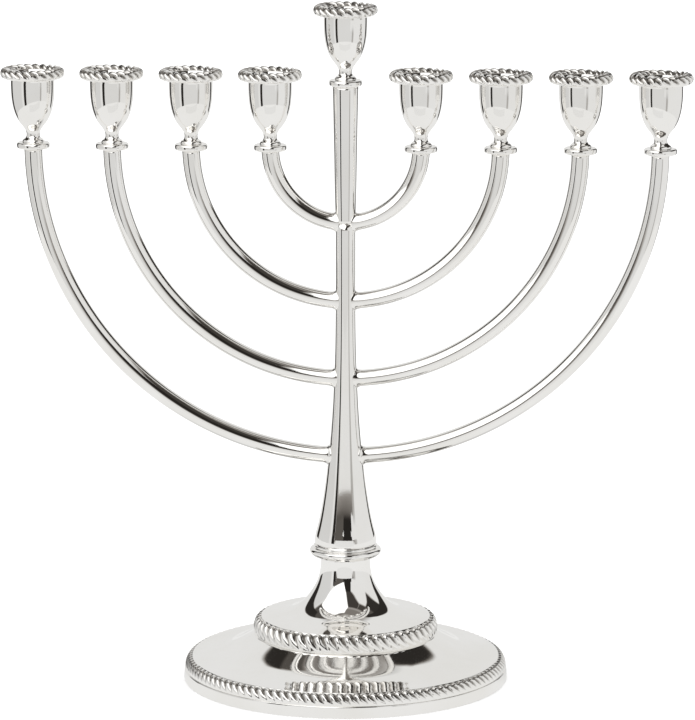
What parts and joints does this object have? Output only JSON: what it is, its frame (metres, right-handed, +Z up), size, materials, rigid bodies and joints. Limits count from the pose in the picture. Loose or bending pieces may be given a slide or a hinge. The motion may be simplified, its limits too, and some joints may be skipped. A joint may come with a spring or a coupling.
{
  "type": "menorah",
  "caption": "Silver-plated Hanukkah menorah: round stepped foot, tapered stem, curved side arms in one plane, and a rope-rimmed candle cup on each arm and a taller one on the stem.",
  "frame": {"origin": "centre of the face that the foot stands on, on the axis of the stem", "axes": "+Z up along the stem, +X along the row of cups to the viewer's right, -Y towards the viewer of the front"},
  "size_m": [0.2826, 0.1342, 0.2813],
  "materials": {
    "silver_spun": "mirror-polished silver plate on a spun shell",
    "silver_cast": "polished silver plate on twisted rope and gadroon castings, slightly darker in the grooves",
    "silver_turned": "mirror-polished silver plate on turned parts",
    "silver_arms": "mirror-polished silver plate on bent round arms",
    "silver_cups": "mirror-polished silver plate on turned candle cups",
    "steel_hardware": "bright zinc-plated steel",
    "board": "plain pressed board, hidden",
    "felt": "dark blue felt"
  },
  "bodies": {
    "root": {"foot_band": "silver_spun", "lower_base_shell": "silver_spun", "upper_base_shell": "silver_spun", "lower_gadroon_ring": "silver_cast", "upper_gadroon_ring": "silver_cast", "collar_ring": "silver_turned", "collar_bead": "silver_turned", "stem_lower": "silver_turned", "stem_upper": "silver_turned", "arm_left_1": "silver_arms", "arm_left_2": "silver_arms", "arm_left_3": "silver_arms", "arm_left_4": "silver_arms", "arm_right_1": "silver_arms", "arm_right_2": "silver_arms", "arm_right_3": "silver_arms", "arm_right_4": "silver_arms", "drip_pan_centre": "silver_turned", "cup_centre": "silver_cups", "rope_rim_centre": "silver_cast", "drip_pan_left_1": "silver_turned", "cup_left_1": "silver_cups", "rope_rim_left_1": "silver_cast", "drip_pan_left_2": "silver_turned", "cup_left_2": "silver_cups", "rope_rim_left_2": "silver_cast", "drip_pan_left_3": "silver_turned", "cup_left_3": "silver_cups", "rope_rim_left_3": "silver_cast", "drip_pan_left_4": "silver_turned", "cup_left_4": "silver_cups", "rope_rim_left_4": "silver_cast", "drip_pan_right_1": "silver_turned", "cup_right_1": "silver_cups", "rope_rim_right_1": "silver_cast", "drip_pan_right_2": "silver_turned", "cup_right_2": "silver_cups", "rope_rim_right_2": "silver_cast", "drip_pan_right_3": "silver_turned", "cup_right_3": "silver_cups", "rope_rim_right_3": "silver_cast", "drip_pan_right_4": "silver_turned", "cup_right_4": "silver_cups", "rope_rim_right_4": "silver_cast", "tie_rod": "steel_hardware", "tie_washer": "steel_hardware", "tie_nut": "steel_hardware", "cup_studs": "steel_hardware", "closing_board": "board", "felt_pad": "felt"}
  },
  "joints": []
}
